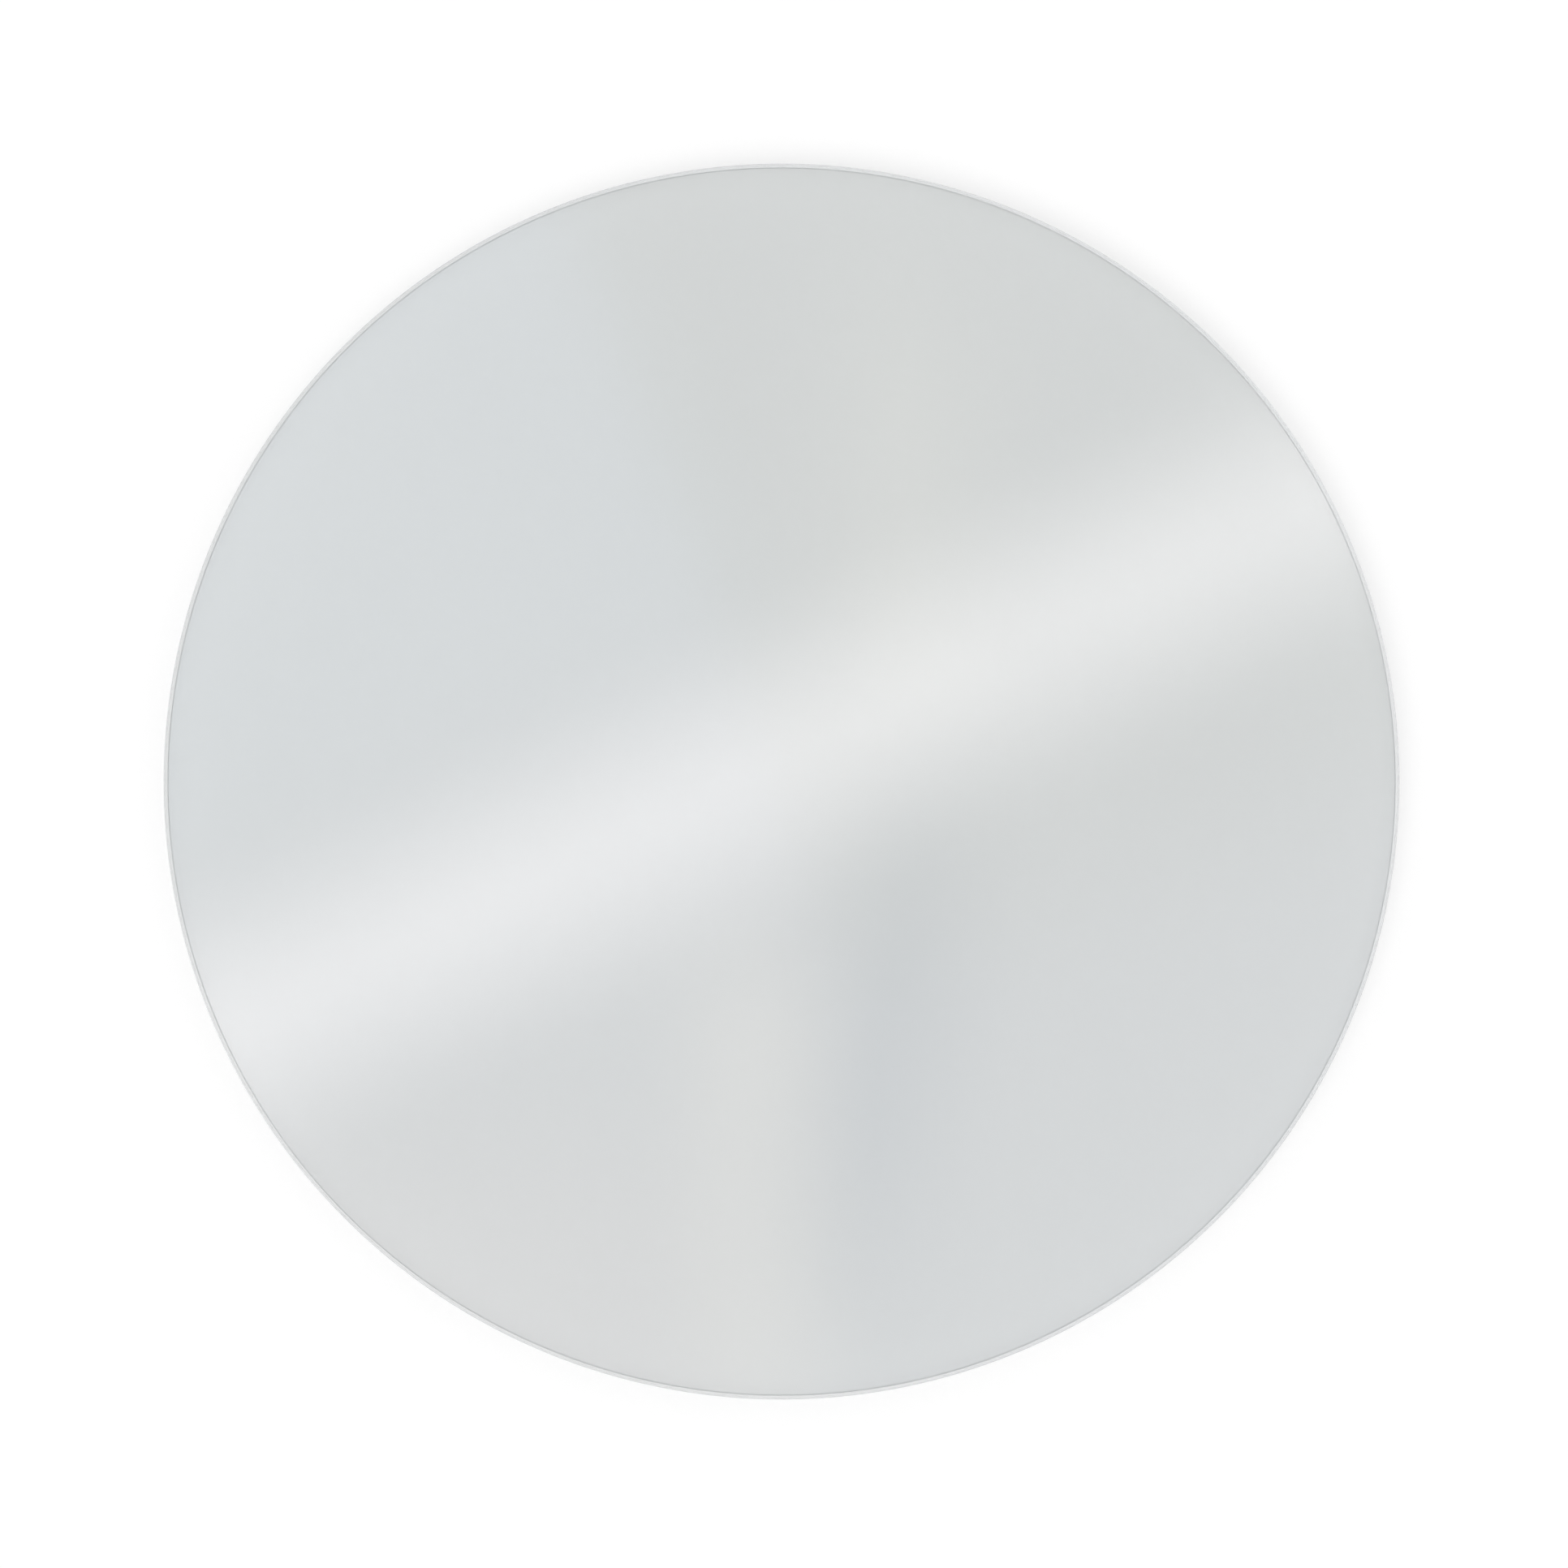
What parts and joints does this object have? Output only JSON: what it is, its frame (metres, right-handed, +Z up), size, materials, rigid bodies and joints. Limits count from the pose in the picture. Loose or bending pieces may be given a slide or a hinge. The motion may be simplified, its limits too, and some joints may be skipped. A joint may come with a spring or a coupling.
{
  "type": "circle template",
  "caption": "Plain round template: a clear acrylic guiding disc over a satin silver film and a non-slip backing, to draw or cut around.",
  "frame": {"origin": "centre of the underside, where the template lies on the work", "axes": "+Z up, out of the glossy face, along the disc's axis; X and Y lie in the disc, which is round, so their direction in it is free"},
  "size_m": [0.1524, 0.1524, 0.0036],
  "materials": {
    "clear_acrylic": "clear, with glossy faces and a polished rim",
    "satin_silver_film": "satin silver, seen through the clear sheet",
    "grey_backing": "matt pale grey, finely pebbled to grip"
  },
  "bodies": {
    "root": {"acrylic_disc": "clear_acrylic", "silver_film": "satin_silver_film", "non_slip_backing": "grey_backing"}
  },
  "joints": []
}
